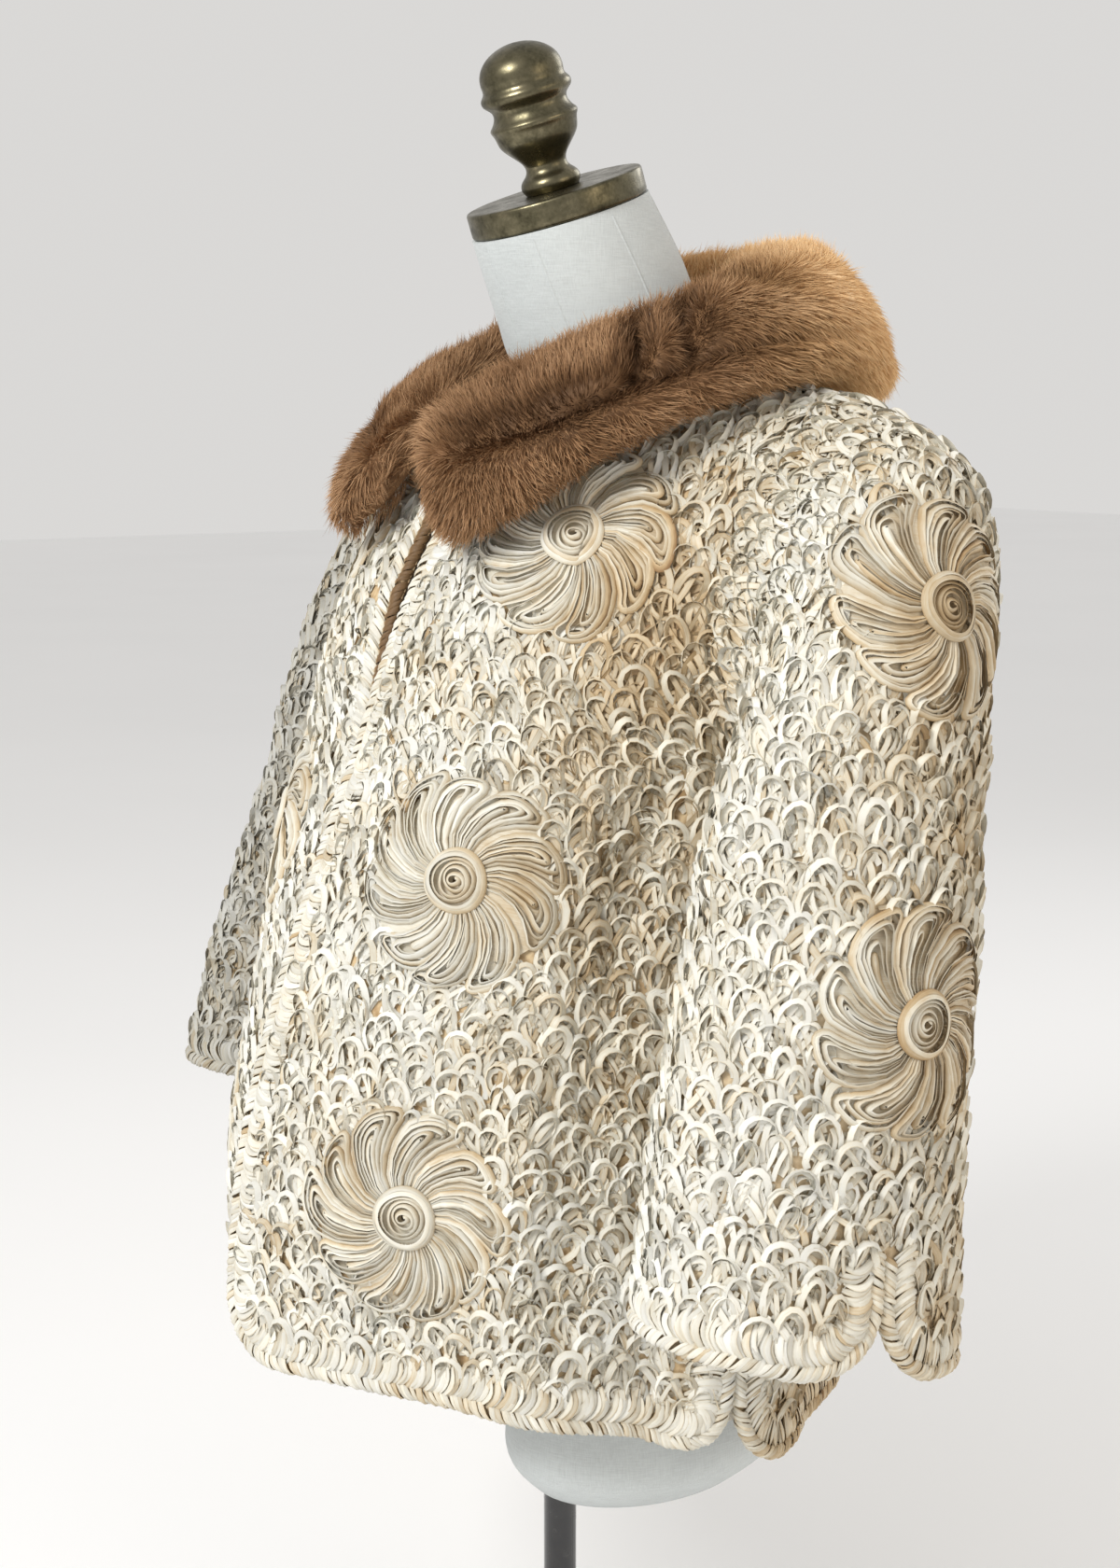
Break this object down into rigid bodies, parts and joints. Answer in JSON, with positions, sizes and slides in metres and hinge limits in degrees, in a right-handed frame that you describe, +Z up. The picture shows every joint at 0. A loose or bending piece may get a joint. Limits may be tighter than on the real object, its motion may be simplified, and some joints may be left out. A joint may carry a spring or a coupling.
{
  "type": "cropped crochet jacket with a fur collar on a limbless dress form",
  "caption": "Open-front cropped jacket of crocheted straw tape with wheel rosettes, wide slit sleeves and a fur collar, on a linen dress form with a turned finial and a round-footed stand.",
  "frame": {"origin": "centre of the stand's foot on the floor", "axes": "+Z up, -Y the jacket's front, +X the wearer's left"},
  "size_m": [0.7234, 0.4591, 1.1297],
  "materials": {
    "straw": "matte crocheted tape",
    "edging": "matte braided tape",
    "lining": "satin weave",
    "fur": "soft pile",
    "linen": "matte weave",
    "bronze": "aged",
    "black": "gloss"
  },
  "bodies": {
    "root": {"back": "straw", "edging_back": "edging", "edging_front_left": "edging", "edging_front_right": "edging", "edging_sleeve_left": "edging", "edging_sleeve_right": "edging", "finial": "bronze", "form_torso": "linen", "front_left": "straw", "front_right": "straw", "fur_collar": "fur", "lining_back": "lining", "lining_front_left": "lining", "lining_front_right": "lining", "lining_sleeve_left": "lining", "lining_sleeve_right": "lining", "neck_cap": "bronze", "rosette_back_blade_left": "straw", "rosette_back_blade_right": "straw", "rosette_back_loin_left": "straw", "rosette_back_loin_right": "straw", "rosette_back_tail_left": "straw", "rosette_back_tail_right": "straw", "rosette_front_chest_left": "straw", "rosette_front_chest_right": "straw", "rosette_front_hem_left": "straw", "rosette_front_hem_right": "straw", "rosette_front_waist_left": "straw", "rosette_front_waist_right": "straw", "rosette_sleeve_lower_left": "straw", "rosette_sleeve_lower_right": "straw", "rosette_sleeve_upper_left": "straw", "rosette_sleeve_upper_right": "straw", "sleeve_left": "straw", "sleeve_right": "straw", "stand_foot": "black", "stand_pole": "black"}
  },
  "joints": []
}
